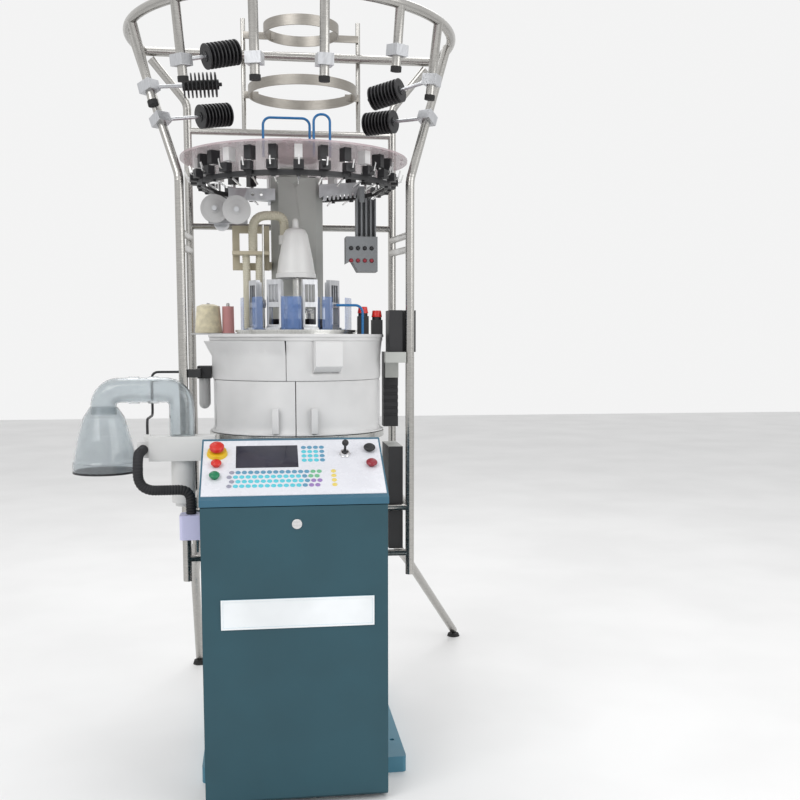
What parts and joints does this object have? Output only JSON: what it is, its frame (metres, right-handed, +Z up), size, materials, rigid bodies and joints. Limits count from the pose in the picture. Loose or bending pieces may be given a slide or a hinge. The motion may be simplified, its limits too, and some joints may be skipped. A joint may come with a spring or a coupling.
{
  "type": "circular sock knitting machine",
  "caption": "Circular sock knitting machine: teal control cabinet with key console, white round head housing, clear yarn disc and a bent steel tube creel with a sock jar.",
  "frame": {"origin": "on the floor under the axis of the needle cylinder, in the bottom face of the base plate", "axes": "+Z up along the needle cylinder, -Y towards the operator at the console, +X to the operator's right"},
  "size_m": [1.24, 1.3729, 2.09],
  "materials": {
    "base_blue": "satin",
    "beige_paint": "satin",
    "black_plastic": "satin",
    "black_rubber": "matte",
    "blue_tube": "gloss",
    "box_black": "satin",
    "brushed_metal": "brushed",
    "cast_grey": "satin",
    "chrome": "polished",
    "clear_blue": "gloss",
    "clear_pink": "gloss",
    "clear_plastic": "gloss",
    "column_grey": "satin",
    "console_blue": "satin",
    "cream_hose": "satin",
    "cream_yarn": "matte",
    "dark_plastic": "satin",
    "dark_red_plastic": "gloss",
    "dark_steel": "satin",
    "frame_grey": "satin",
    "gear_steel": "satin",
    "green_plastic": "gloss",
    "ground_steel": "satin",
    "housing_white": "satin",
    "key_blue": "gloss",
    "light_grey": "satin",
    "motor_black": "satin",
    "red_plastic": "gloss",
    "screen": "gloss",
    "strap_steel": "satin",
    "teal_paint": "satin",
    "tube_steel": "satin",
    "wheel_grey": "satin",
    "white_panel": "gloss",
    "white_plastic": "gloss",
    "white_plate": "gloss",
    "yellow_plastic": "satin",
    "zinc": "satin"
  },
  "bodies": {
    "machine": {"base_plate": "base_blue", "cabinet_feet": "zinc", "pedestal": "frame_grey", "drive_motor": "motor_black", "table_plate": "ground_steel", "cabinet_body": "teal_paint", "control_chassis": "zinc", "console_housing": "console_blue", "key_panel": "white_panel", "display": "screen", "key_set": "key_blue", "estop_collar": "yellow_plastic", "toggle_collar": "chrome", "head_frame": "cast_grey", "cam_ring": "dark_steel", "housing_shell": "housing_white", "upper_cover_left": "housing_white", "upper_cover_right": "housing_white", "bed_plate": "light_grey", "head_plate": "ground_steel", "feed_units": "brushed_metal", "needle_guards": "clear_blue", "bell_hood": "white_plastic", "hoses": "cream_hose", "hose_bracket": "beige_paint", "column": "column_grey", "yarn_disc": "clear_pink", "yarn_fingers": "black_plastic", "air_tubes": "blue_tube", "feeder_arms": "brushed_metal", "valve_bank": "cast_grey", "creel_frame": "tube_steel", "top_ring": "tube_steel", "rubber_caps": "black_rubber", "yarn_hoops": "strap_steel", "cone_holders": "black_plastic", "sock_jar": "clear_plastic", "outlet_duct": "clear_plastic", "suction_unit": "white_plastic", "electric_boxes": "box_black", "yarn_cones": "cream_yarn"},
    "door": {"cabinet_door": "teal_paint", "front_plate": "white_plate"},
    "lock": {"door_lock": "chrome"},
    "estop": {"estop_button": "red_plastic"},
    "stop": {"stop_button": "red_plastic"},
    "start": {"start_button": "green_plastic"},
    "black": {"black_button": "black_plastic"},
    "red": {"red_button": "dark_red_plastic"},
    "toggle": {"toggle_lever": "black_plastic"},
    "cylinder": {"needle_cylinder": "ground_steel", "cylinder_gear": "gear_steel", "needles": "chrome"},
    "dial": {"dial": "ground_steel"},
    "pinion": {"pinion": "gear_steel"},
    "door_left": {"skirt_door_left": "housing_white"},
    "door_right": {"skirt_door_right": "housing_white"},
    "wheel_left": {"feeder_wheel_left": "wheel_grey"},
    "wheel_right": {"feeder_wheel_right": "wheel_grey"},
    "flap": {"jar_flap": "dark_plastic"}
  },
  "joints": [
    {"name": "cabinet_door_hinge", "type": "hinge", "parent": "machine", "child": "door", "pos_m": [-0.242, -0.4725, 0.383], "axis": [0, 0, 1], "range_deg": [-100, 0]},
    {"name": "lock_turn", "type": "hinge", "parent": "door", "child": "lock", "pos_m": [-0.021, -0.485, 0.702], "axis": [0, -1, 0], "range_deg": [0, 90]},
    {"name": "estop_press", "type": "slide", "parent": "machine", "child": "estop", "axis": [0, 0.515, -0.8572], "range_m": [0, 0.004], "stiffness_N_per_m": 500, "springref_m": -0.002},
    {"name": "stop_press", "type": "slide", "parent": "machine", "child": "stop", "axis": [0, 0.515, -0.8572], "range_m": [0, 0.004], "stiffness_N_per_m": 500, "springref_m": -0.002},
    {"name": "start_press", "type": "slide", "parent": "machine", "child": "start", "axis": [0, 0.515, -0.8572], "range_m": [0, 0.004], "stiffness_N_per_m": 500, "springref_m": -0.002},
    {"name": "black_press", "type": "slide", "parent": "machine", "child": "black", "axis": [0, 0.515, -0.8572], "range_m": [0, 0.004], "stiffness_N_per_m": 500, "springref_m": -0.002},
    {"name": "red_press", "type": "slide", "parent": "machine", "child": "red", "axis": [0, 0.515, -0.8572], "range_m": [0, 0.004], "stiffness_N_per_m": 500, "springref_m": -0.002},
    {"name": "toggle_rock", "type": "hinge", "parent": "machine", "child": "toggle", "pos_m": [0.106, -0.34409, 0.85367], "axis": [1, 0, 0], "range_deg": [-20, 20], "stiffness_Nm_per_rad": 0.4},
    {"name": "cylinder_turn", "type": "hinge", "parent": "machine", "child": "cylinder", "pos_m": [0, 0, 1], "axis": [0, 0, 1], "continuous": true},
    {"name": "dial_turn", "type": "hinge", "parent": "machine", "child": "dial", "pos_m": [0, 0, 1.25], "axis": [0, 0, 1], "continuous": true},
    {"name": "pinion_turn", "type": "hinge", "parent": "machine", "child": "pinion", "pos_m": [0, 0.104, 0.95], "axis": [0, 0, 1], "continuous": true},
    {"name": "skirt_left_hinge", "type": "hinge", "parent": "machine", "child": "door_left", "pos_m": [-0.22486, -0.05711, 0.96], "axis": [0, 0, 1], "range_deg": [-45, 0]},
    {"name": "skirt_right_hinge", "type": "hinge", "parent": "machine", "child": "door_right", "pos_m": [0.22486, -0.05711, 0.96], "axis": [0, 0, 1], "range_deg": [0, 60]},
    {"name": "wheel_left_turn", "type": "hinge", "parent": "machine", "child": "wheel_left", "pos_m": [-0.22, -0.021, 1.495], "axis": [0, 1, 0], "continuous": true},
    {"name": "wheel_right_turn", "type": "hinge", "parent": "machine", "child": "wheel_right", "pos_m": [-0.16, -0.051, 1.489], "axis": [0, 1, 0], "continuous": true},
    {"name": "flap_hinge", "type": "hinge", "parent": "machine", "child": "flap", "pos_m": [-0.42, -0.15, 0.795], "axis": [0, 1, 0], "range_deg": [-80, 0], "stiffness_Nm_per_rad": 0.6, "springref_deg": 45.84}
  ],
  "couplings": [
    {"joint": "dial_turn", "follows": "cylinder_turn", "ratio": 1},
    {"joint": "pinion_turn", "follows": "cylinder_turn", "ratio": -4.2}
  ]
}
